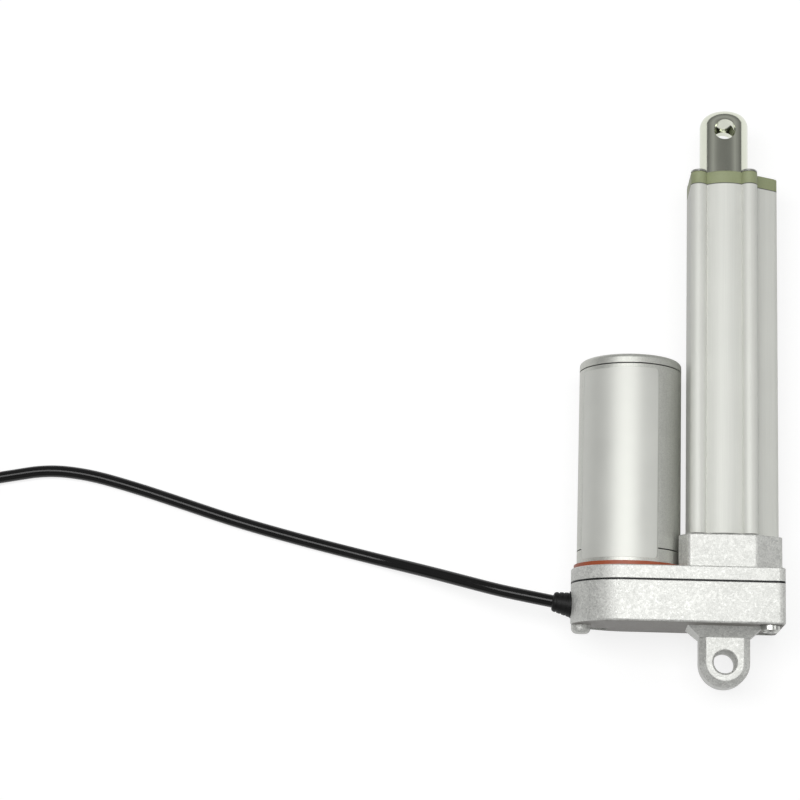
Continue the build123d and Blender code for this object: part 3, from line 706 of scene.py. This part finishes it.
def coil_point(turned):
    """A control point of the coil, from the angle that the cord has turned in it."""
    lane, within = divmod(turned, 360)
    lane = int(lane)
    radius, height = LANES[lane]
    if lane < len(STEP_STARTS):
        share = min(max((within - STEP_STARTS[lane]) / STEP_LENGTH, 0), 1)
        share = share * share * (3 - 2 * share)
        next_radius, next_height = LANES[lane + 1]
        radius += (next_radius - radius) * share
        height += (next_height - height) * share
    radius *= OUTWARDS
    angle = math.radians(COIL_START + turned)
    return (COIL_CENTRE[0] + radius * math.cos(angle), COIL_CENTRE[1] + radius * math.sin(angle), height)


coil_turned = 360 * len(STEP_STARTS) + LAST_TURN
coil_points = [coil_point(n * POINT_STEP) for n in range(int(coil_turned / POINT_STEP) + 1)]
print("control points in the coil:", len(coil_points))

# %% [markdown]
# One function draws the sheath and later the cores. A curve with a bevel depth is a
# round cord of that radius, and it stays a real curve whose length can be measured.

# %% The curve
def nurbs_line(name, points, thickness):
    """A round cord along control points in millimetres."""
    data = bpy.data.curves.new(name, "CURVE")
    data.dimensions = "3D"
    line = data.splines.new("NURBS")
    line.points.add(len(points) - 1)
    for point, place in zip(line.points, points):
        point.co = (*(Vector(place) * MM), 1.0)
    line.order_u = 3
    line.use_endpoint_u = True
    line.resolution_u = 8
    data.bevel_depth = thickness / 2 * MM
    data.bevel_resolution = 5
    data.use_fill_caps = True
    made = bpy.data.objects.new(name, data)
    bpy.context.scene.collection.objects.link(made)
    return made


cord = nurbs_line("power_cord", FREE_RUN + coil_points, CORD_D)
print("control points in the cord:", len(cord.data.splines[0].points))

# %% [markdown]
# The sheath is smooth PVC with a high gloss. A faint, slow unevenness breaks up the
# long highlight, and very fine grain keeps it from looking like glass.

# %% Cord sheath
SHEATH_DARK, SHEATH_LIGHT = grey(0.002), grey(0.008)


def make_cord_black():
    sheath = Finish("cord_black")
    slow = sheath.noise(per_metre=130, detail=3)
    grain = sheath.noise(per_metre=2600, detail=2)
    return sheath.surface(
        Base_Color=sheath.mix(slow, SHEATH_DARK, SHEATH_LIGHT),
        Roughness=0.12 + slow * 0.08 + grain * 0.05,
        Specular_IOR_Level=0.32,
        Normal=sheath.bump(slow * 0.7 + grain * 0.3, 0.05 * MM, 0.4),
    )


cord.data.materials.append(make_cord_black())
print("finish of the sheath:", cord.data.materials[0].name)

# %% [markdown]
# ## The bare end
# Such an actuator is wired in by whoever builds it into a machine. So its cord has
# no plug: the sheath ends, and two cores come out with their last millimetres
# tinned. They start just inside the sheath's end, drop to the table and curve
# towards the middle of the coil. Each control point of a core is written as four
# numbers: how far it lies ahead of the sheath's end, how far to the inside, how far
# the cores lie to either side there, and how much of the sheath's height is left.
# The core on the inside of the bend ends a little earlier than the other.

# %% Two cores
CORE_D, TIP_D = 1.7, 1.0
CORE_RUN = [
    (-1.0, 0.0, 0.52 * CORE_D, 1.0),
    (5.0, 0.0, 0.6 * CORE_D, 0.5),
    (11.0, 6.0, 1.3, 0.0),
    (14.5, 12.5, 2.2, 0.0),
]
CORE_STAGGER = 1.0
TIP_RUN = (-0.5, 2.0, 4.5)
sheath_end = Vector(coil_points[-1])
ahead = (sheath_end - Vector(coil_points[-2])).normalized()
inward = Vector((-ahead.y, ahead.x, 0.0))
core_floor = TABLE_Z + CORE_D / 2


def core_points(side):
    """Control points of one core, which bends from the sheath's way towards the middle."""
    points = []
    for forward, sideways, apart, raised in CORE_RUN:
        point = sheath_end + ahead * forward + inward * (sideways + side * apart)
        point.z = core_floor + (sheath_end.z - core_floor) * raised
        points.append(point)
    points[-1] -= ahead * side * CORE_STAGGER
    return points


core_runs = {"core_a": core_points(-1), "core_b": core_points(1)}
cores = [nurbs_line(name, points, CORE_D) for name, points in core_runs.items()]
tips = []
for name, points in core_runs.items():
    way = (points[-1] - points[-2]).normalized()
    tips.append(nurbs_line(name + "_tip", [points[-1] + way * step for step in TIP_RUN], TIP_D))
for piece in cores:
    piece.data.materials.append(core_insulation)
for piece in tips:
    piece.data.materials.append(tinned_wire)
print("cores and tips:", len(cores) + len(tips))

# %% [markdown]
# The cord replaces its plain stand-ins from the solid model.

for piece in [cord, *cores, *tips]:
    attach(piece, "casing")
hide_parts("cord", "cord_coil")
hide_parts("cord_cores")
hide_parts("core_tips")

# %% [markdown]
# ## The film on the motor
# A thin silver film wraps round the front of the motor. It is a patch of the
# motor's own cylinder, less than a tenth of a millimetre further out, so its edge
# catches the light. It is laid out flat with rounded corners and then bent: each
# place across it becomes an angle round the motor. Rows stand closer together near
# the two ends, where the corners need them.

# %% The film's rows
FILM_GAP, FILM_T = 0.01, 0.07
FILM_ANGLES = (math.radians(-64), math.radians(33))
FILM_LOW, FILM_HIGH = 36.4, 107.6
FILM_CORNER = 1.6
FILM_ROWS = 60
CORNER_ROWS = 6


def film_rows():
    """The heights of the film's rows, in millimetres."""
    rows = [FILM_LOW + (FILM_HIGH - FILM_LOW) * n / FILM_ROWS for n in range(FILM_ROWS + 1)]
    for n in range(1, CORNER_ROWS):
        rise = FILM_CORNER * (1 - math.cos(math.pi / 2 * n / CORNER_ROWS))
        rows += [FILM_LOW + rise, FILM_HIGH - rise]
    return sorted(rows)


def corner_inset(y):
    """How much the rounded corners take off each side at this height."""
    into_corner = max(FILM_CORNER - min(y - FILM_LOW, FILM_HIGH - y), 0)
    return FILM_CORNER - math.sqrt(FILM_CORNER**2 - into_corner**2)


print("rows in the film:", len(film_rows()))

# %% [markdown]
# A grid of faces joins the rows, and a Solidify modifier makes the film thick.

# %% The film
FILM_COLUMNS = 72


def film_mesh():
    radius = MOTOR_R + FILM_GAP
    half_angle = (FILM_ANGLES[1] - FILM_ANGLES[0]) / 2
    mid_angle = sum(FILM_ANGLES) / 2
    mesh = bmesh.new()
    grid = []
    for y in film_rows():
        reach = half_angle - corner_inset(y) / radius
        row = []
        for n in range(FILM_COLUMNS + 1):
            angle = mid_angle + (2 * n / FILM_COLUMNS - 1) * reach
            x, z = MOTOR_X + radius * math.sin(angle), radius * math.cos(angle)
            row.append(mesh.verts.new(Vector((x, y, z)) * MM))
        grid.append(row)
    for lower, upper in zip(grid, grid[1:]):
        for n in range(FILM_COLUMNS):
            mesh.faces.new((lower[n], lower[n + 1], upper[n + 1], upper[n]))
    bmesh.ops.recalc_face_normals(mesh, faces=mesh.faces)
    data = bpy.data.meshes.new("label_film")
    mesh.to_mesh(data)
    mesh.free()
    return data


film = bpy.data.objects.new("label_film", film_mesh())
bpy.context.scene.collection.objects.link(film)
for face in film.data.polygons:
    face.use_smooth = True
thick = film.modifiers.new("thickness", "SOLIDIFY")
thick.thickness = FILM_T * MM
thick.offset = 1.0
print("faces in the film:", len(film.data.polygons))

# %% [markdown]
# The film is duller than the plated can and more even: it has a faint cloud, and a
# fine grain without any lines.

# %% Film finish
FOIL_DARK, FOIL_LIGHT = grey(0.62, 0.012), grey(0.72, 0.012)


def make_film():
    foil = Finish("label_film")
    cloud = foil.noise(per_metre=70, detail=2)
    grain = foil.noise(per_metre=3200, detail=2)
    return foil.surface(
        Base_Color=foil.mix(cloud, FOIL_DARK, FOIL_LIGHT),
        Metallic=0.5,
        Roughness=0.46 + cloud * 0.06 + grain * 0.06,
        Normal=foil.bump(grain, 0.004 * MM, 0.4),
    )


film.data.materials.append(make_film())
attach(film, "casing")
print("finish of the film:", film.data.materials[0].name)

# %% [markdown]
# ## The table and the light
# The table is white and the light is soft. The table is lit like anything else, so
# it keeps the shadow under the actuator. A little glow is added to what the camera
# sees of it and to what metal and glass show, which makes it the clean white of a
# product page. The glow sheds no light on matt pieces.

# %% White table
TABLE_SIZE = 6.0
TABLE_WHITE, TABLE_GLOW = 0.31, 0.76


def make_table_white():
    white = Finish("table_white")
    kinds = ("Camera", "Glossy", "Transmission")
    rays = [white.node("ShaderNodeLightPath", out=f"Is {kind} Ray") for kind in kinds]
    strength = white.largest(*rays) * TABLE_GLOW
    matt = white.node("ShaderNodeBsdfDiffuse", values={"Color": grey(TABLE_WHITE)})
    glow = white.node("ShaderNodeEmission", values={"Color": grey(1.0), "Strength": strength})
    return white.end(white.node("ShaderNodeAddShader", values={0: matt, 1: glow}))


bpy.ops.mesh.primitive_plane_add(size=TABLE_SIZE, location=(0, 0, TABLE_Z * MM))
table = bpy.context.object
table.name = "table"
table.data.materials.append(make_table_white())
print("height of the table in mm:", TABLE_Z)

# %% [markdown]
# Metal shows what is round it, so the sky of this little studio has bands. Straight
# above it is dark, like the ceiling behind the photographer, which gives the rod its
# dark middle. Further down it is lighter, and near the table it is dark again, so
# that the sides of the actuator turn grey. A colour ramp over the height of each
# direction holds the bands: 0 is level with the table and 1 is straight up.

# %% Studio sky
SKY_BANDS = [(0.0, 0.14), (0.25, 0.26), (0.55, 0.42), (0.80, 0.24), (1.0, 0.17)]
world = bpy.data.worlds.new("studio")
bpy.context.scene.world = world
world.use_nodes = True
sky = world.node_tree
sky.nodes.clear()
where = sky.nodes.new("ShaderNodeTexCoord")
height = sky.nodes.new("ShaderNodeSeparateXYZ")
bands = sky.nodes.new("ShaderNodeValToRGB")
for n, (place, level) in enumerate(SKY_BANDS):
    stop = bands.color_ramp.elements[n] if n < 2 else bands.color_ramp.elements.new(place)
    stop.position = place
    stop.color = grey(level)
shine = sky.nodes.new("ShaderNodeBackground")
out = sky.nodes.new("ShaderNodeOutputWorld")
sky.links.new(where.outputs["Generated"], height.inputs[0])
sky.links.new(height.outputs["Z"], bands.inputs[0])
sky.links.new(bands.outputs[0], shine.inputs["Color"])
sky.links.new(shine.outputs[0], out.inputs["Surface"])
print("bands in the sky:", len(bands.color_ramp.elements))

# %% [markdown]
# One large soft lamp does most of the work. It points straight down and hangs where
# the castings, the motor and the tube mirror it, so what faces up is bright and what
# leans away falls off quickly. The rod mirrors the room beside it. A small, weak
# lamp at the right brightens the sides that the large one doesn't reach.

# %% Soft lamps
LAMPS = {
    "key": {"place": (-0.2, 0.12, 0.9), "aim": (-0.2, 0.12, 0.0), "size": (0.9, 0.4), "watts": 5.6},
    "side": {"place": (0.65, -0.02, 0.5), "aim": (0.0, 0.1, 0.0), "size": (0.3, 0.3), "watts": 0.8},
}


def soft_lamp(name, place, aim, size, watts):
    """A rectangular lamp that looks at aim."""
    data = bpy.data.lights.new(name, "AREA")
    data.shape = "RECTANGLE"
    data.size, data.size_y = size
    data.energy = watts
    lamp = bpy.data.objects.new(name, data)
    bpy.context.scene.collection.objects.link(lamp)
    lamp.location = place
    lamp.rotation_euler = (Vector(place) - Vector(aim)).to_track_quat("Z", "Y").to_euler()


for name, numbers in LAMPS.items():
    soft_lamp(name, **numbers)
print("lamps:", len(LAMPS))

# %% [markdown]
# ## The last settings
# The Standard view shows colours as they are written.

# %% View
scene = bpy.context.scene
scene.view_settings.view_transform = "Standard"
